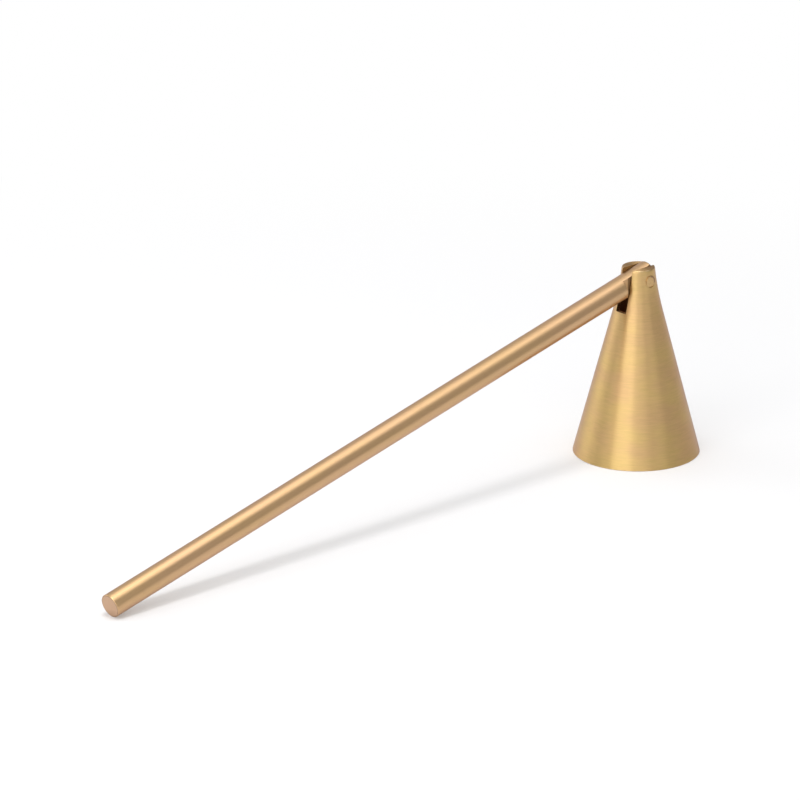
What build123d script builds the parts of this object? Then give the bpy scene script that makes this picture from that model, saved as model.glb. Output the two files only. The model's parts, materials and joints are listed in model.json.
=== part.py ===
from build123d import *
import math
import os

# Candle snuffer: a hollow turned bell, a plain round handle and the pin that hinges them.
# Millimetres. The bell stands on its rim on z = 0, with its axis on Z.
# The handle lies in the XZ plane. It runs towards -X, down to the surface that the bell stands on,
# and turns about the pin, which lies along Y through the bell's slotted neck.

# bell
bell_height = 66.0
rim_radius = 21.75
neck_radius = 5.6
flare_length = 16.0  # from the top down to where the straight flank begins
flare_radius = 8.6  # of the flank there
flare_bend_share = 0.5  # how far up the neck the tangents at the curve's two ends meet
wall = 1.3
rim_break = 0.15
neck_break = 0.35
slot_depth = 14.7  # from the top
slot_into_hollow = 5.3  # how far the slot reaches down past the hollow's ceiling
ceiling_fillet = 2.0

# handle
rod_radius = 4.0
handle_reach = 240.7  # pivot to the middle of the free end
shoulder_reach = 8.4  # pivot to the step where the round rod ends and the tongue begins
nose_reach = 4.6  # pivot to the tongue's end, on the far side of the pivot
tongue_thickness = 4.4
end_round = 0.3
shoulder_bevel = 0.45
nose_round = 0.5

# pivot
pivot_depth = 4.0  # from the bell's top
pin_radius = 2.0
pin_proud = 0.05  # how far its flat ends stand out of the neck at their middle
pin_break = 0.2
pin_clearance = 0.05  # on the radius, in the tongue
side_clearance = 0.1  # each side of the tongue, in the slot
cut_overrun = 1.0  # how far a cutting tool runs past the metal

pivot_height = bell_height - pivot_depth
flare_height = bell_height - flare_length
slot_floor_height = bell_height - slot_depth
ceiling_height = slot_floor_height + slot_into_hollow
slot_width = tongue_thickness + 2 * side_clearance
flank_angle = math.atan2(rim_radius - flare_radius, flare_height)


def rest_lean():
    """Angle of the handle below level when the rounded edge of its free end touches z = 0."""
    reach = handle_reach - end_round
    drop = pivot_height - end_round
    edge = rod_radius - end_round
    return math.asin(drop / math.hypot(reach, edge)) - math.atan2(edge, reach)


def flare_corners():
    """The three points, as radius and height, that set the curve of the neck."""
    bend = flare_bend_share * flare_length
    start = (flare_radius, flare_height)
    middle = (flare_radius - bend * math.tan(flank_angle), flare_height + bend)
    end = (neck_radius, bell_height)
    return start, middle, end


def neck_radius_at(height):
    """Radius of the neck at a height on its curve."""
    (r0, h0), (r1, h1), (r2, h2) = flare_corners()
    rise = height - h0
    speed = 2 * (h1 - h0)
    change = h2 - 2 * h1 + h0
    t = 2 * rise / (speed + math.sqrt(speed**2 + 4 * change * rise))
    return (1 - t) ** 2 * r0 + 2 * t * (1 - t) * r1 + t**2 * r2


def corner_at(face, point):
    """The corner of a flat outline that lies at a point."""
    return face.vertices().sort_by_distance(point)[0]


def bell_form():
    """The bell's outside as a solid: a straight flank that curves gently into the neck."""
    flank_start = (rim_radius, 0, 0)
    flank_end, flare_bend, neck_top = ((r, 0, h) for r, h in flare_corners())
    outline = make_face(
        [
            Line((0, 0, 0), flank_start),
            Line(flank_start, flank_end),
            Bezier(flank_end, flare_bend, neck_top),
            Line(neck_top, (0, 0, bell_height)),
            Line((0, 0, bell_height), (0, 0, 0)),
        ]
    )
    outline = fillet(corner_at(outline, neck_top), neck_break)
    outline = chamfer(corner_at(outline, flank_start), rim_break)
    return revolve(outline, Axis.Z)


def hollow():
    """The conical space inside the bell, parallel to its flank, with a rounded ceiling."""
    slope = math.tan(flank_angle)
    mouth_radius = rim_radius - wall / math.cos(flank_angle)
    below_radius = mouth_radius + cut_overrun * slope
    ceiling_radius = mouth_radius - ceiling_height * slope
    ceiling_corner = (ceiling_radius, 0, ceiling_height)
    outline = make_face(
        [
            Line((0, 0, -cut_overrun), (below_radius, 0, -cut_overrun)),
            Line((below_radius, 0, -cut_overrun), ceiling_corner),
            Line(ceiling_corner, (0, 0, ceiling_height)),
            Line((0, 0, ceiling_height), (0, 0, -cut_overrun)),
        ]
    )
    return revolve(fillet(corner_at(outline, ceiling_corner), ceiling_fillet), Axis.Z)


def neck_slot():
    """The slot that is sawn down through the neck from side to side, along X."""
    length = 2 * (rim_radius + cut_overrun)
    depth = bell_height + cut_overrun - slot_floor_height
    cutter = Box(length, slot_width, depth, align=(Align.CENTER, Align.CENTER, Align.MIN))
    return Pos(0, 0, slot_floor_height) * cutter


def across_the_pivot(bar):
    """Lays a bar that stands on the origin's middle along Y through the pivot."""
    return Pos(0, 0, pivot_height) * Rot(90, 0, 0) * bar


def make_bell():
    """Bell with its hollow, its slot and the two ears that hold the pin."""
    drill = across_the_pivot(Cylinder(pin_radius, 2 * (rim_radius + cut_overrun)))
    return bell_form() - hollow() - neck_slot() - drill


def make_pivot_pin():
    """Pin pressed into both ears, with flat ends that finish level with the neck."""
    pin = Cylinder(pin_radius, 2 * (neck_radius_at(pivot_height) + pin_proud))
    pin = chamfer(pin.edges().filter_by(GeomType.CIRCLE), pin_break)
    return across_the_pivot(pin)


def handle_place():
    """Turns a handle that lies along -X through the origin into its place at rest."""
    return Pos(0, 0, pivot_height) * Rot(0, -math.degrees(rest_lean()), 0)


def make_rod():
    """Round rod from the shoulder to the free end, with both of its edges broken."""
    length = handle_reach - shoulder_reach
    rod = Cylinder(rod_radius, length, align=(Align.CENTER, Align.CENTER, Align.MIN))
    rod = fillet(rod.edges().group_by(Axis.Z)[-1], end_round)
    rod = chamfer(rod.edges().group_by(Axis.Z)[0], shoulder_bevel)
    return Pos(-shoulder_reach, 0, 0) * Rot(0, -90, 0) * rod


def make_tongue():
    """The rod's end milled to two flats, with its nose rounded over and its pin hole."""
    root = shoulder_bevel + cut_overrun
    length = nose_reach + shoulder_reach + root
    stock = Cylinder(rod_radius, length, align=(Align.CENTER, Align.CENTER, Align.MIN))
    stock = Pos(-shoulder_reach - root, 0, 0) * Rot(0, 90, 0) * stock
    stock = fillet(stock.edges().group_by(Axis.X)[-1], nose_round)
    flats = Box(2 * length, tongue_thickness, 2 * rod_radius + cut_overrun)
    hole = Rot(90, 0, 0) * Cylinder(pin_radius + pin_clearance, tongue_thickness + cut_overrun)
    return (stock & Pos(-length / 2, 0, 0) * flats) - hole


def make_handle_rod():
    """Handle: round rod and tongue in one piece, at rest in the slot."""
    return handle_place() * (make_rod() + make_tongue())


def main():
    os.makedirs("parts", exist_ok=True)
    pieces = {
        "bell": make_bell(),
        "pivot_pin": make_pivot_pin(),
        "handle_rod": make_handle_rod(),
    }
    for name, piece in pieces.items():
        export_step(piece, f"parts/{name}.step")
        print(name, "volume", round(piece.volume, 1))
    print("lean at rest", round(math.degrees(rest_lean()), 3))


main()
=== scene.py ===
import json
import math

import bmesh
import bpy
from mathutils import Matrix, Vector


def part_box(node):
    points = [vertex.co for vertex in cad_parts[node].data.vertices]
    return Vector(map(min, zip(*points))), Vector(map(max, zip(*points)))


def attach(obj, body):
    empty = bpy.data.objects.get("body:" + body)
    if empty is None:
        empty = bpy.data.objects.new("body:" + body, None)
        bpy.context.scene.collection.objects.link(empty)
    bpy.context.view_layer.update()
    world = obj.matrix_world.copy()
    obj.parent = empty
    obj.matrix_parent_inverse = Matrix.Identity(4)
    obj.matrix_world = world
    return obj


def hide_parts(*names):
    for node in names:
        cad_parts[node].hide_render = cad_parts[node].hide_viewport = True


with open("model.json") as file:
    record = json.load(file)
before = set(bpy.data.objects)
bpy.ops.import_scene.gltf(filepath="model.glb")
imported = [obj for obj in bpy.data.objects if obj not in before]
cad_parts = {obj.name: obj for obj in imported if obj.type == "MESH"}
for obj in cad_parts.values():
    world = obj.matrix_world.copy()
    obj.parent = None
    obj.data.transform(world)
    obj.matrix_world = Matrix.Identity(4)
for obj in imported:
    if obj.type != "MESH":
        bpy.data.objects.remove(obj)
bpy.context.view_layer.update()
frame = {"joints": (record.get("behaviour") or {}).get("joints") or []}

# A candle snuffer: a turned brass bell, a long round handle and the pin that hinges them.
# The bell stands on its rim at the origin and the handle comes down towards -X. Metres.

mm = 0.001
near = 0.02 * mm  # what is closer than this to a plane counts as on it
sharpAngle = math.radians(30)  # only edges sharper than this are broken
smoothAngle = math.radians(35)  # faces that meet at less than this shade as one
pivot = Vector(frame["joints"][0]["pos_m"])
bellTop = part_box("bell")[1]


# modelling helpers

def selectOnly(piece):
    bpy.ops.object.select_all(action="DESELECT")
    piece.select_set(True)
    bpy.context.view_layer.objects.active = piece


def startEdit(piece):
    selectOnly(piece)
    bpy.ops.object.mode_set(mode="EDIT")
    bpy.ops.mesh.select_mode(type="VERT")
    bpy.ops.mesh.select_all(action="DESELECT")


def endEdit():
    bpy.ops.object.mode_set(mode="OBJECT")


def pick(piece, kind, test):  # selects the verts, edges or faces that pass a test, in edit mode
    bpy.ops.mesh.select_mode(type={"verts": "VERT", "edges": "EDGE", "faces": "FACE"}[kind])
    shape = bmesh.from_edit_mesh(piece.data)
    for part in getattr(shape, kind):
        part.select_set(bool(test(part)))
    shape.select_flush(True)
    bmesh.update_edit_mesh(piece.data)


def addPrimitive(name, kind, **settings):  # a fresh primitive, with its size and place in its mesh
    bpy.ops.object.select_all(action="DESELECT")
    getattr(bpy.ops.mesh, f"primitive_{kind}_add")(**settings)
    piece = bpy.context.object
    piece.name = name
    bpy.ops.object.transform_apply(location=True, rotation=True, scale=True)
    return piece


def crossBar(name, radius, length, middle):  # a round bar along Y, as the pin lies
    return addPrimitive(name, "cylinder", vertices=pin["facets"], radius=radius, depth=length,
                        location=middle, rotation=(math.pi / 2, 0, 0))


def applyModifier(piece, kind, **settings):
    selectOnly(piece)
    bpy.ops.object.modifier_add(type=kind)
    change = piece.modifiers[-1]
    for setting, value in settings.items():
        setattr(change, setting, value)
    bpy.ops.object.modifier_apply(modifier=change.name)


def combine(piece, tool, operation):  # boolean with a second mesh, which is used up
    applyModifier(piece, "BOOLEAN", operation=operation, solver="EXACT", object=tool)
    bpy.data.objects.remove(tool)


def breakEdges(piece, width, segments, test):  # bevels the sharp edges whose middle passes a test
    def chosen(edge):
        if len(edge.link_faces) != 2 or edge.calc_face_angle() <= sharpAngle:
            return False
        return test((edge.verts[0].co + edge.verts[1].co) / 2)

    startEdit(piece)
    pick(piece, "edges", chosen)
    bpy.ops.mesh.bevel(offset=width, segments=segments, profile=0.5, clamp_overlap=False)
    endEdit()


def smooth(piece):  # round faces shade round, and flat ones stay flat
    selectOnly(piece)
    bpy.ops.object.shade_smooth_by_angle(angle=smoothAngle)
    applyModifier(piece, "WEIGHTED_NORMAL", keep_sharp=True, weight=80)


# the bell

bell = {
    "wall": 1.3 * mm,
    "neckRadius": 5.6 * mm,
    "flareRadius": 8.6 * mm,  # where the straight flank ends
    "flareLength": 16.0 * mm,
    "rimBreak": 0.15 * mm,
    "mouthBreak": 0.1 * mm,
    "neckBreak": 0.35 * mm,
    "slotWidth": 4.6 * mm,
    "slotDepth": 14.7 * mm,
    "slotIntoHollow": 5.3 * mm,
    "ceilingRound": 2.0 * mm,
    "sawnEdge": 0.1 * mm,
    "sawnReach": 0.12 * mm,  # points this near to the saw's sides move onto them
    "facets": 128,
    "flankRings": 8,
    "flareRings": 32,
    "neckRings": 4,
    "ceilingRings": 5,
}


# An outline is a list of points, each a radius and a height.

def straight(foot, slope, low, high, rings):  # up a straight flank, without its lowest point
    heights = [low + (high - low) * ring / rings for ring in range(1, rings + 1)]
    return [(foot - slope * height, height) for height in heights]


def curved(corners, rings):  # from the first of three corners to the last, without either
    points = []
    for ring in range(1, rings):
        t = ring / rings
        shares = ((1 - t) ** 2, 2 * t * (1 - t), t * t)
        points.append(tuple(sum(share * corner[axis] for share, corner in zip(shares, corners))
                            for axis in (0, 1)))
    return points


def rounded(centre, size, start, end, rings):  # round a centre, from one angle to another
    turns = [start + (end - start) * ring / rings for ring in range(rings + 1)]
    return [(centre[0] + size * math.cos(turn), centre[1] + size * math.sin(turn))
            for turn in turns]


def bellSlope(values):  # how much radius the straight flank loses for each metre of height
    return (bellTop.x - values["flareRadius"]) / (bellTop.z - values["flareLength"])


def ceilingHeight(values):  # the top of the hollow
    return bellTop.z - values["slotDepth"] + values["slotIntoHollow"]


def outsideOutline(values):
    rim, top, slope = bellTop.x, bellTop.z, bellSlope(values)
    flareHeight = top - values["flareLength"]
    outline = [(rim - slope * values["rimBreak"], values["rimBreak"])]
    outline += straight(rim, slope, 0, flareHeight, values["flankRings"])
    bend = values["flareLength"] / 2
    corners = ((values["flareRadius"], flareHeight),
               (values["flareRadius"] - bend * slope, flareHeight + bend),
               (values["neckRadius"], top))
    outline += curved(corners, values["flareRings"])
    crown = values["neckBreak"]
    outline = [point for point in outline if point[1] < top - crown]
    outline += rounded((values["neckRadius"] - crown, top - crown), crown, 0, math.pi / 2,
                       values["neckRings"])
    outline.append((values["neckRadius"] / 2, top))
    return outline


def insideOutline(values):
    slope, ceiling = bellSlope(values), ceilingHeight(values)
    lean = math.atan(slope)
    mouth = bellTop.x - values["wall"] * math.hypot(1, slope)
    edge = values["mouthBreak"]
    rounding = values["ceilingRound"]
    reach = rounding * math.tan((math.pi / 2 - lean) / 2)
    outline = [(mouth + edge, 0), (mouth - slope * edge, edge)]
    outline += straight(mouth, slope, edge, ceiling - reach * math.cos(lean), values["flankRings"])
    centre = (mouth - slope * ceiling - reach, ceiling - rounding)
    outline += rounded(centre, rounding, lean, math.pi / 2, values["ceilingRings"])[1:]
    return outline


def growRings(start, outline):  # extrudes the selected ring from each point to the next
    radius, height = start
    for nextRadius, nextHeight in outline:
        rise = (0, 0, nextHeight - height)
        bpy.ops.mesh.extrude_region_move(TRANSFORM_OT_translate={"value": rise})
        share = nextRadius / radius
        bpy.ops.transform.resize(value=(share, share, 1), center_override=(0, 0, nextHeight))
        radius, height = nextRadius, nextHeight
    bpy.ops.mesh.merge(type="CENTER")


def lineUpWithSaw(piece, values):  # so that the slot's walls cut no slivers off the rings
    half = values["slotWidth"] / 2
    shape = bmesh.from_edit_mesh(piece.data)
    for point in shape.verts:
        radius = point.co.xy.length
        if abs(abs(point.co.y) - half) < values["sawnReach"] and radius > half:
            side, front = math.copysign(half, point.co.y), math.copysign(1, point.co.x)
            point.co.x, point.co.y = front * math.sqrt(radius ** 2 - half ** 2), side
    bmesh.update_edit_mesh(piece.data)


def makeBell(values):
    foot = (bellTop.x - values["rimBreak"], 0)
    piece = addPrimitive("turnedBell", "circle", vertices=values["facets"], radius=foot[0])
    startEdit(piece)
    bpy.ops.mesh.select_all(action="SELECT")
    growRings(foot, outsideOutline(values))
    pick(piece, "verts", lambda point: abs(point.co.z) < near)
    growRings(foot, insideOutline(values))
    bpy.ops.mesh.select_all(action="SELECT")
    bpy.ops.mesh.normals_make_consistent(inside=False)
    lineUpWithSaw(piece, values)
    endEdit()

    wide = 3 * bellTop.x  # well past both sides of the bell
    saw = addPrimitive("saw", "cube", size=1, location=(0, 0, bellTop.z),
                       scale=(wide, values["slotWidth"], 2 * values["slotDepth"]))
    combine(piece, saw, "DIFFERENCE")
    slotFloor = bellTop.z - values["slotDepth"]

    def onSlotWall(middle):
        return middle.z > slotFloor + near and abs(abs(middle.y) - values["slotWidth"] / 2) < near

    breakEdges(piece, values["sawnEdge"], segments=2, test=onSlotWall)
    combine(piece, crossBar("drill", pin["radius"], wide, pivot), "DIFFERENCE")
    smooth(piece)
    return piece


# the pivot pin

pin = {
    "radius": 2.0 * mm,
    "facets": 64,
    "endBreak": 0.1 * mm,
    "facing": 0.9 * mm,  # radius of the shallow turned mark in each end
    "facingSlope": 0.45 * mm,  # how much of that radius its sloping edge takes
    "facingDepth": 0.04 * mm,
}


def makePin(values):
    ends = [corner.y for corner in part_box("pivot_pin")]
    length = ends[1] - ends[0]
    piece = crossBar("hingePin", values["radius"], length, pivot)
    breakEdges(piece, values["endBreak"], segments=3,
               test=lambda middle: abs(middle.y) > length / 2 - near)
    startEdit(piece)
    pick(piece, "faces", lambda face: abs(face.normal.y) > 0.99)  # the two flat ends
    land = values["radius"] - values["endBreak"] - values["facing"]
    bpy.ops.mesh.inset(thickness=land, use_individual=True)
    bpy.ops.mesh.inset(thickness=values["facingSlope"], depth=-values["facingDepth"],
                       use_individual=True)
    endEdit()
    smooth(piece)
    return piece


# the handle

handle = {
    "radius": 4.0 * mm,
    "reach": 240.7 * mm,  # pivot to the middle of the free end
    "shoulder": 8.4 * mm,  # pivot to where the round rod ends
    "nose": 4.6 * mm,  # pivot to the tongue's tip
    "tongue": 4.4 * mm,  # thickness
    "endRound": 0.3 * mm,
    "shoulderBevel": 0.45 * mm,
    "noseRound": 0.5 * mm,
    "flatEdge": 0.1 * mm,
    "pinHole": 2.05 * mm,  # radius
    "facets": 96,
}


def handleLean(values):  # how far the handle hangs below level when its end touches the table
    reach = values["reach"] - values["endRound"]
    drop = pivot.z - values["endRound"]
    edge = values["radius"] - values["endRound"]
    return math.asin(drop / math.hypot(reach, edge)) - math.atan2(edge, reach)


def roundBar(name, values, start, end):  # a round bar along X
    return addPrimitive(name, "cylinder", vertices=values["facets"], radius=values["radius"],
                        depth=end - start, location=((start + end) / 2, 0, 0),
                        rotation=(0, math.pi / 2, 0))


def makeHandle(values):  # lying along X with its pin hole at the origin, until the last step
    reach, shoulder, nose = values["reach"], values["shoulder"], values["nose"]
    piece = roundBar("roundHandle", values, -reach, -shoulder)
    breakEdges(piece, values["endRound"], segments=4,
               test=lambda middle: middle.x < -reach + near)
    breakEdges(piece, values["shoulderBevel"], segments=1,
               test=lambda middle: middle.x > -shoulder - near)

    buried = 3 * values["shoulderBevel"]  # how much of the tongue is inside the round bar
    tongue = roundBar("tongue", values, -shoulder - buried, nose)
    breakEdges(tongue, values["noseRound"], segments=5,
               test=lambda middle: middle.x > nose - near)
    wide = 4 * values["radius"]  # well past both sides of the bar
    mill = addPrimitive("mill", "cube", size=1, scale=(4 * shoulder, values["tongue"], wide))
    combine(tongue, mill, "INTERSECT")

    def onFlat(middle):
        return abs(abs(middle.y) - values["tongue"] / 2) < near and middle.x > -shoulder

    breakEdges(tongue, values["flatEdge"], segments=2, test=onFlat)
    combine(piece, tongue, "UNION")
    combine(piece, crossBar("drill", values["pinHole"], wide, (0, 0, 0)), "DIFFERENCE")
    piece.rotation_euler = (0, -handleLean(values), 0)
    piece.location = pivot
    selectOnly(piece)
    bpy.ops.object.transform_apply(location=True, rotation=True, scale=True)
    smooth(piece)
    return piece


# shader maths

class Signal:  # one output of a node, with the maths that is done on it
    def __init__(self, shader, socket):
        self.shader = shader
        self.socket = socket

    def maths(self, operation, *values):
        return self.shader.add("ShaderNodeMath", {"operation": operation}, dict(enumerate(values)))

    def __abs__(self):
        return self.maths("ABSOLUTE", self)

    def __add__(self, other):
        return self.maths("ADD", self, other)

    def __radd__(self, other):
        return self.maths("ADD", other, self)

    def __sub__(self, other):
        return self.maths("SUBTRACT", self, other)

    def __rsub__(self, other):
        return self.maths("SUBTRACT", other, self)

    def __mul__(self, other):
        return self.maths("MULTIPLY", self, other)

    def __rmul__(self, other):
        return self.maths("MULTIPLY", other, self)

    def __truediv__(self, other):
        return self.maths("DIVIDE", self, other)

    def __rtruediv__(self, other):
        return self.maths("DIVIDE", other, self)

    def __pow__(self, other):
        return self.maths("POWER", self, other)

    def __rpow__(self, other):
        return self.maths("POWER", other, self)

    def __gt__(self, other):
        return self.maths("GREATER_THAN", self, other)

    def __lt__(self, other):
        return self.maths("LESS_THAN", self, other)


class Shader:  # a material that is built node by node
    def __init__(self, name, **constants):
        self.material = bpy.data.materials.new(name)
        self.material.use_nodes = True
        self.tree = self.material.node_tree
        self.surface = self.tree.nodes["Principled BSDF"]
        self.drive(**constants)

    def plug(self, value, socket):
        if isinstance(value, Signal):
            self.tree.links.new(value.socket, socket)
        else:
            socket.default_value = value

    def add(self, kind, settings=None, inputs=None, output=0):
        node = self.tree.nodes.new(kind)
        for name, value in (settings or {}).items():
            setattr(node, name, value)
        for socket, value in (inputs or {}).items():
            self.plug(value, node.inputs[socket])
        return Signal(self, node.outputs[output])

    def drive(self, **inputs):
        for socket, value in inputs.items():
            self.plug(value, self.surface.inputs[socket.replace("_", " ")])
        return self.material


# object coordinates, measured from an origin in units of a size
def onPiece(shader, origin=(0, 0, 0), turn=(0, 0, 0), size=(1, 1, 1)):
    place = shader.add("ShaderNodeTexCoord", output="Object")
    return shader.add("ShaderNodeMapping", {"vector_type": "TEXTURE"},
                      {"Vector": place, "Location": origin, "Rotation": turn, "Scale": size})


def apart(shader, place):  # the x, y and z of a place
    return [shader.add("ShaderNodeSeparateXYZ", {}, {0: place}, output=axis) for axis in range(3)]


def mottle(shader, place, detail=2.0, roughness=0.5):  # noise from 0 to 1, its blobs a unit wide
    return shader.add("ShaderNodeTexNoise", {}, {"Vector": place, "Scale": 1.0, "Detail": detail,
                                                 "Roughness": roughness})


def ripples(shader, distance, width):  # a wave between -1 and 1, each one a width long
    return shader.add("ShaderNodeMath", {"operation": "SINE"}, {0: distance / width * math.tau})


def fade(shader, value, low, high):  # 0 below low and 1 above high, eased between them
    return shader.add("ShaderNodeMapRange", {"interpolation_type": "SMOOTHSTEP"},
                      {"Value": value, "From Min": low, "From Max": high})


def tint(shader, share, first, second):  # from the first colour to the second
    return shader.add("ShaderNodeMix", {"data_type": "RGBA"}, {0: share, 6: first, 7: second},
                      output=2)


def dim(shader, colour, level):  # a colour made brighter or darker
    return shader.add("ShaderNodeVectorMath", {"operation": "SCALE"}, {0: colour, "Scale": level})


def relief(shader, height, depth):  # a bump that is so many metres deep
    return shader.add("ShaderNodeBump", {}, {"Strength": 1.0, "Distance": depth, "Height": height})


# What all the brass reflects where it turns away, a greyer pink than its middle.
edgeTint = (0.82, 0.76, 0.86, 1)


# In the brasses below, a Seam is the two distances between which a mask fades in or out,
# a Range is the two levels of a noise that do the same, and a Cover is how strongly it shows.

# the brass of the bell: brushed round and round on the lathe, smoked inside, with painted shade in
# the hollow and on the slot's walls

bellBrass = {
    "yellow": (0.59, 0.412, 0.165, 1),
    "rosy": (0.581, 0.38, 0.18, 1),
    "hueRange": (0.34, 0.66),
    "patchSize": (14 * mm, 14 * mm, 9 * mm),
    "patchShare": 0.8,  # of the change in hue, the rest follows the brush lines
    "lineSize": (5.5 * mm, 5.5 * mm, 0.5 * mm),
    "lineShade": 0.29,
    "fineLineSize": (3.3 * mm, 3.3 * mm, 0.15 * mm),
    "fineLineShade": 0.145,
    "faced": (0.6, 0.385, 0.18, 1),  # the flat tops of the ears
    "facedSeam": (0.12 * mm, 0.04 * mm),  # below the top
    "facedCover": 0.8,
    "sawn": (0.3, 0.194, 0.084, 1),  # painted shade on the slot's walls
    "sawnSeam": (0.02 * mm, 0.12 * mm),  # out from the slot's walls
    "sawnCover": 0.9,
    "worn": (0.66, 0.49, 0.29, 1),
    "wornCover": 0.7,
    "wornRange": (0.4, 0.62),
    "wornSpeck": (2 * mm, 2 * mm, 2 * mm),
    "rimSeam": (0.1 * mm, 0.45 * mm),  # above the rim
    "crownSeam": (0.5 * mm, 0.2 * mm),  # in from the crown's edge
    # soot inside the bell, which also stands in as painted shade of the hollow
    "sootAndShade": (0.4, 0.19, 0.085, 1),
    "sootAndShadeLeast": 0.55,  # at the mouth, against 1 at the ceiling
    "sootAndShadeSeam": (8 * mm, 48 * mm),  # above the rim
    "sootAndShadeWander": 20 * mm,  # how far the seam rises and falls
    "roughness": 0.41,
    "lineRoughness": 0.16,
    "patchRoughness": 0.1,
    "sawnRoughness": 0.5,
    "smokedRoughness": 0.12,  # more
    "wornRoughness": 0.08,  # less
    "anisotropy": 0.6,
    "grooveTurn": 0.25,  # a quarter turn lays the grooves round the axis
    "grooveDepth": 0.012 * mm,
    "grooveShare": 0.7,  # of the depth, the rest is the fine lines'
}


def makeBellBrass(values, shape):
    brass = Shader("brushedBellBrass", Metallic=1.0, Specular_Tint=edgeTint,
                   Anisotropic=values["anisotropy"], Anisotropic_Rotation=values["grooveTurn"])
    x, y, z = apart(brass, onPiece(brass))
    radius = (x * x + y * y) ** 0.5
    top = bellTop.z
    margin = 0.05 * mm
    withinWall = bellTop.x - 0.6 * shape["wall"]  # parts the outside from the inside
    inside = radius < withinWall - bellSlope(shape) * z
    inside = inside * (z < ceilingHeight(shape) + margin)
    facedLow, facedHigh = (top - depth for depth in values["facedSeam"])
    faced = fade(brass, z, facedLow, facedHigh)
    # painted shade on the slot's walls, darker than the brass around it
    sawnClose, sawnFar = (shape["slotWidth"] / 2 + depth for depth in values["sawnSeam"])
    sawn = (1 - fade(brass, abs(y), sawnClose, sawnFar)) * (z > top - shape["slotDepth"] - margin)
    sawn = sawn * (1 - faced)

    # different origins keep one noise from lining up with another
    lines = mottle(brass, onPiece(brass, size=values["lineSize"]), detail=3.0, roughness=0.6)
    fineLines = mottle(brass, onPiece(brass, (1, 2, 3), size=values["fineLineSize"]), detail=1.0)
    patches = mottle(brass, onPiece(brass, size=values["patchSize"]))
    specks = mottle(brass, onPiece(brass, (3, 1, 2), size=values["wornSpeck"]), detail=4.0,
                    roughness=0.65)

    hue = patches * values["patchShare"] + lines * (1 - values["patchShare"])
    colour = tint(brass, fade(brass, hue, *values["hueRange"]), values["yellow"], values["rosy"])
    shade = (lines - 0.5) * values["lineShade"] + (fineLines - 0.5) * values["fineLineShade"]
    colour = dim(brass, colour, 1 + shade)
    colour = tint(brass, faced * values["facedCover"], colour, values["faced"])
    colour = tint(brass, sawn * values["sawnCover"], colour, values["sawn"])
    rimWear = 1 - fade(brass, z, *values["rimSeam"])
    far, close = values["crownSeam"]
    crownWear = fade(brass, z, top - far, top - close)
    crownWear = crownWear * fade(brass, radius, shape["neckRadius"] - far,
                                 shape["neckRadius"] - close)
    wear = (rimWear + crownWear) * fade(brass, specks, *values["wornRange"]) * (1 - inside)
    colour = tint(brass, wear * values["wornCover"], colour, values["worn"])
    # soot inside, which is also painted shade of the hollow, darker towards the ceiling
    height = z + (patches - 0.5) * values["sootAndShadeWander"]
    sootAndShadeShare = fade(brass, height, *values["sootAndShadeSeam"]) * (1 - values["sootAndShadeLeast"])
    sootAndShadeShare = inside * (sootAndShadeShare + values["sootAndShadeLeast"])
    colour = tint(brass, sootAndShadeShare, colour, values["sootAndShade"])

    rough = values["roughness"] + (lines - 0.5) * values["lineRoughness"]
    rough = rough + (patches - 0.5) * values["patchRoughness"]
    rough = rough + (faced + sawn) * (values["sawnRoughness"] - values["roughness"])
    rough = rough + inside * values["smokedRoughness"] - wear * values["wornRoughness"]
    grooves = lines * values["grooveShare"] + fineLines * (1 - values["grooveShare"])
    return brass.drive(Base_Color=colour, Roughness=rough,
                       Normal=relief(brass, grooves, values["grooveDepth"]))


# the brass of the pin: faced flat, with turned rings that show faintly

pinBrass = {
    "colour": (0.56, 0.376, 0.173, 1),
    "dull": (0.49, 0.322, 0.157, 1),
    "dullRange": (0.4, 0.7),
    "blotchSize": (0.8 * mm, 0.8 * mm, 0.8 * mm),
    "rubbedSeam": (1.7 * mm, 2.0 * mm),  # radius from which the bell's rubbing keeps it bright
    "rubbedShare": 0.5,
    "paintedShade": (0.24, 0.14, 0.08, 1),  # painted shade, a dark crescent on the side towards the bell's crown
    "shadeRise": 0.7,  # how far up the crescent's middle is, for each step along X
    "shadeEnds": (0.3, 0.95),  # where it starts and is full, going round towards its middle
    "shadeSeam": (1.15 * mm, 1.6 * mm),  # radius
    "shadeCover": 0.85,
    "roughness": 0.34,
    "blotchRoughness": 0.2,
    "ringRoughness": 0.02,
    "ringWidth": 0.22 * mm,
    "ringDepth": 0.003 * mm,
}


def makePinBrass(values):
    brass = Shader("facedPinBrass", Metallic=1.0, Specular_Tint=edgeTint)
    x, y, z = apart(brass, onPiece(brass, pivot))
    radius = (x * x + z * z) ** 0.5
    rings = ripples(brass, radius, values["ringWidth"])
    blotches = mottle(brass, onPiece(brass, size=values["blotchSize"]), detail=4.0, roughness=0.6)
    rubbed = fade(brass, radius, *values["rubbedSeam"])
    dull = fade(brass, blotches, *values["dullRange"]) * (1 - rubbed * values["rubbedShare"])
    colour = tint(brass, dull, values["colour"], values["dull"])
    # painted shade: a dark crescent on the pin's end
    crescent = fade(brass, (x + z * values["shadeRise"]) / radius, *values["shadeEnds"])
    crescent = crescent * fade(brass, radius, *values["shadeSeam"])
    colour = tint(brass, crescent * values["shadeCover"], colour, values["paintedShade"])
    rough = values["roughness"] + (blotches - 0.5) * values["blotchRoughness"]
    rough = rough + rings * values["ringRoughness"]
    return brass.drive(Base_Color=colour, Roughness=rough,
                       Normal=relief(brass, rings, values["ringDepth"]))


# the brass of the handle: drawn bar with a smooth satin skin, a little rosier than the bell

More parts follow.
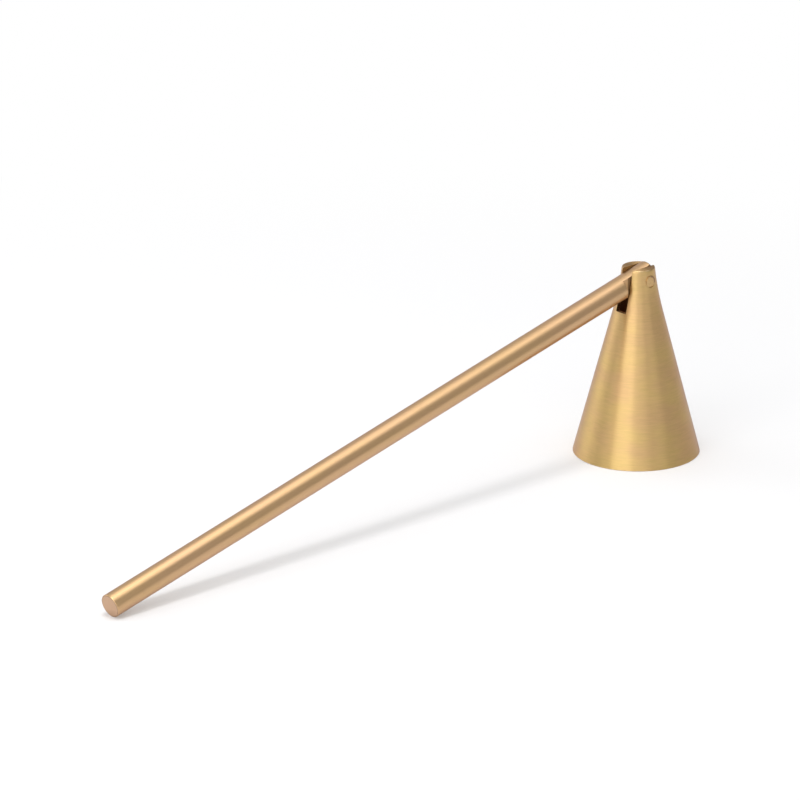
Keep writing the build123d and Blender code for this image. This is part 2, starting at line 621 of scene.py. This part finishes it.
handleBrass = {
    "rosy": (0.596, 0.385, 0.212, 1),
    "yellow": (0.591, 0.388, 0.2, 1),
    "hueRange": (0.36, 0.64),
    "patchSize": (26 * mm, 7 * mm, 7 * mm),
    "lineSize": (30 * mm, 0.3 * mm, 0.3 * mm),
    "lineShade": 0.07,
    "handled": (0.53, 0.345, 0.19, 1),  # where fingers have dulled it
    "printSize": (5 * mm, 3 * mm, 3 * mm),
    "printRange": (0.52, 0.72),
    "handledRange": (0.35, 0.6),
    "handledCover": 0.45,
    "end": (0.6, 0.405, 0.262, 1),
    "endSeam": (0.02 * mm, 0.1 * mm),  # in from the free end
    "endRimSeam": (3.45 * mm, 3.75 * mm),  # radius from which the free end is darker
    "endRimShade": 0.3,
    "milledSeam": (0.06 * mm, 0.02 * mm),  # in from the tongue's flats
    "paintedShade": (0.2, 0.125, 0.06, 1),  # painted shade on the tongue's flats, where the ears hide them
    "shadeSeam": (-7.15 * mm, -6.8 * mm),  # along X, where the ears begin to cover the flats
    "shadeCover": 0.9,
    "roughness": 0.36,
    "endRoughness": 0.44,
    "lineRoughness": 0.05,
    "patchRoughness": 0.06,
    "handledRoughness": 0.05,  # more
    "lineDepth": 0.0015 * mm,
    "ringWidth": 0.35 * mm,
    "ringDepth": 0.004 * mm,
    "endRingShare": 0.5,  # of that depth
}


def makeHandleBrass(values, shape):
    brass = Shader("satinHandleBrass", Metallic=1.0, Specular_Tint=edgeTint)
    turn = (0, -handleLean(shape), 0)
    along, across, up = apart(brass, onPiece(brass, pivot, turn))  # from the pivot
    radius = (across * across + up * up) ** 0.5
    endLow, endHigh = (depth - shape["reach"] for depth in values["endSeam"])
    free = 1 - fade(brass, along, endLow, endHigh)
    flatLow, flatHigh = (shape["tongue"] / 2 - depth for depth in values["milledSeam"])
    milled = fade(brass, abs(across), flatLow, flatHigh) * (along > near - shape["shoulder"])
    x = apart(brass, onPiece(brass))[0]
    # painted shade on the flats that the ears cover
    sheltered = milled * fade(brass, x, *values["shadeSeam"])
    lines = mottle(brass, onPiece(brass, pivot, turn, values["lineSize"]), roughness=0.6)
    patches = mottle(brass, onPiece(brass, pivot, turn, values["patchSize"]), detail=3.0,
                     roughness=0.55)
    prints = mottle(brass, onPiece(brass, (0.3, 0.1, 0.2), turn, values["printSize"]), detail=4.0,
                    roughness=0.6)
    rings = ripples(brass, radius, values["ringWidth"])

    colour = tint(brass, fade(brass, patches, *values["hueRange"]), values["rosy"],
                  values["yellow"])
    handled = fade(brass, prints, *values["printRange"])
    handled = handled * fade(brass, patches, *values["handledRange"])
    colour = tint(brass, handled * values["handledCover"], colour, values["handled"])
    colour = dim(brass, colour, 1 + (lines - 0.5) * values["lineShade"])
    colour = tint(brass, free, colour, values["end"])
    endRim = free * fade(brass, radius, *values["endRimSeam"])
    colour = dim(brass, colour, 1 - endRim * values["endRimShade"])
    colour = tint(brass, sheltered * values["shadeCover"], colour, values["paintedShade"])

    rough = values["roughness"] + (lines - 0.5) * values["lineRoughness"]
    rough = rough + (patches - 0.5) * values["patchRoughness"]
    rough = rough + handled * values["handledRoughness"]
    rough = rough + (free + milled) * (values["endRoughness"] - values["roughness"])
    height = lines * (values["lineDepth"] / values["ringDepth"]) * (1 - free)
    height = height + rings * free * values["endRingShare"]
    return brass.drive(Base_Color=colour, Roughness=rough,
                       Normal=relief(brass, height, values["ringDepth"]))


# build the pieces

def dress(piece, node, body, material):
    piece.data.materials.clear()
    piece.data.materials.append(material)
    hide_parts(node)
    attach(piece, body)


dress(makeBell(bell), "bell", "bell", makeBellBrass(bellBrass, bell))
print("bell turned, sawn and drilled")
dress(makePin(pin), "pivot_pin", "bell", makePinBrass(pinBrass))
print("pin made")
dress(makeHandle(handle), "handle_rod", "handle",
      makeHandleBrass(handleBrass, handle))
print("handle made")


# the studio

white = (1, 1, 1, 1)

studio = {
    "cameraPlace": (-1.5625, -1.6103, 0.8195),
    "cameraTurn": (70.33, 0, -42.08),  # degrees
    "lens": 315,
    "sensor": 36,
    "clipEnd": 50,
    "aim": Vector((-0.05, 0, 0.04)),  # where the softboxes point
    "floorSize": 40,
    "floorDrop": 0.02 * mm,  # below the rim
    "floorColour": (0.8, 0.8, 0.81, 1),
    "floorRoughness": 0.9,
    "shadowPlace": (-0.1, 0, 0),  # the middle of the shadow
    "floorGlow": 0.2,  # there, and in the whole shadow
    "farGlow": 1.0,  # further out, where the floor turns into the white backdrop
    "glowRange": (0.13, 0.4),  # metres from the shadow's middle
    "worldStrength": 0.27,  # the room's own light, the same from all round
}

softboxes = {  # azimuth round from the camera, elevation, distance, width, height, strength
    "key": (-24, 79, 1.45, 0.3, 0.3, 22.7),
    "overhead": (90, 86, 1.3, 1.1, 1.1, 1.3),
    "front": (-8, 17, 1.5, 0.62, 0.95, 0.64),
    "frontRight": (18, 26, 1.5, 0.62, 0.95, 0.71),
    "frontMiddle": (10, 26, 1.5, 0.62, 0.95, 0.67),
    "frontLeft": (-28, 26, 1.5, 0.93, 0.95, 2.42),
    "cornerLeft": (-52, 26, 1.5, 0.93, 0.95, 1.13),
    "sideLeft": (-80, 26, 1.5, 0.93, 0.95, 0.45),
    "left": (-108, 26, 1.5, 0.93, 0.95, 1.0),
    "lowLeft": (-120, 17, 1.5, 0.93, 0.95, 1.09),
    "backLeft": (-160, 26, 1.5, 0.93, 0.95, 0.52),
    "right": (46, 17, 1.5, 0.72, 0.95, 0.58),
    "sideRight": (82, 26, 1.5, 0.93, 0.95, 0.24),
    "highLeft": (-140, 67, 1.5, 1.1, 0.6, 0.59),
    "highBack": (-154, 58, 1.5, 1.1, 0.6, 0.38),
    "highRight": (100, 58, 1.5, 1.1, 0.6, 0.86),
}


def fromCamera(azimuth, elevation):  # a direction, with its azimuth turned from the camera's own
    turn = math.radians(azimuth + studio["cameraTurn"][2])
    rise = math.radians(elevation)
    return Vector((math.sin(turn) * math.cos(rise), -math.cos(turn) * math.cos(rise),
                   math.sin(rise)))


def addSoftbox(name, azimuth, elevation, distance, width, height, strength):
    lamp = bpy.data.lights.new(name, "AREA")
    lamp.shape = "RECTANGLE"
    lamp.size, lamp.size_y = width, height
    lamp.energy = strength * math.pi * width * height  # a strength of 1 looks white
    box = bpy.data.objects.new(name, lamp)
    bpy.context.scene.collection.objects.link(box)
    away = fromCamera(azimuth, elevation)
    box.location = studio["aim"] + away * distance
    box.rotation_euler = away.to_track_quat("Z", "Y").to_euler()
    box.visible_camera = False


def addFloor(values):  # the camera, and what mirrors or shows it, also see its glow
    floor = addPrimitive("floor", "plane", size=values["floorSize"],
                         location=(0, 0, -values["floorDrop"]))
    paper = Shader("palePaper", Base_Color=values["floorColour"],
                   Roughness=values["floorRoughness"])
    path = "ShaderNodeLightPath"
    seen = paper.add(path, output="Is Camera Ray") + paper.add(path, output="Is Glossy Ray")
    seen = seen + paper.add(path, output="Is Transmission Ray")
    distance = paper.add("ShaderNodeVectorMath", {"operation": "DISTANCE"},
                         {0: onPiece(paper), 1: values["shadowPlace"]}, output="Value")
    share = fade(paper, distance, *values["glowRange"])
    share = values["floorGlow"] + (values["farGlow"] - values["floorGlow"]) * share
    glow = paper.add("ShaderNodeEmission", {}, {"Color": white, "Strength": 1})
    plain = Signal(paper, paper.surface.outputs[0])
    mixed = paper.add("ShaderNodeMixShader", {}, {0: seen * share, 1: plain, 2: glow})
    paper.plug(mixed, paper.tree.nodes["Material Output"].inputs["Surface"])
    floor.data.materials.append(paper.material)


def addWorld(values):
    world = bpy.data.worlds.new("studio")
    bpy.context.scene.world = world
    world.use_nodes = True
    background = world.node_tree.nodes["Background"]
    background.inputs["Color"].default_value = white
    background.inputs["Strength"].default_value = values["worldStrength"]


def addCamera(values):
    camera = bpy.data.cameras.new("camera")
    camera.lens = values["lens"]
    camera.sensor_width = values["sensor"]
    camera.clip_end = values["clipEnd"]
    stand = bpy.data.objects.new("camera", camera)
    bpy.context.scene.collection.objects.link(stand)
    stand.location = values["cameraPlace"]
    stand.rotation_euler = [math.radians(turn) for turn in values["cameraTurn"]]
    bpy.context.scene.camera = stand


addFloor(studio)
addWorld(studio)
addCamera(studio)
for name, settings in softboxes.items():
    addSoftbox(name, *settings)
bpy.context.scene.view_settings.view_transform = "Standard"
print("studio lit")
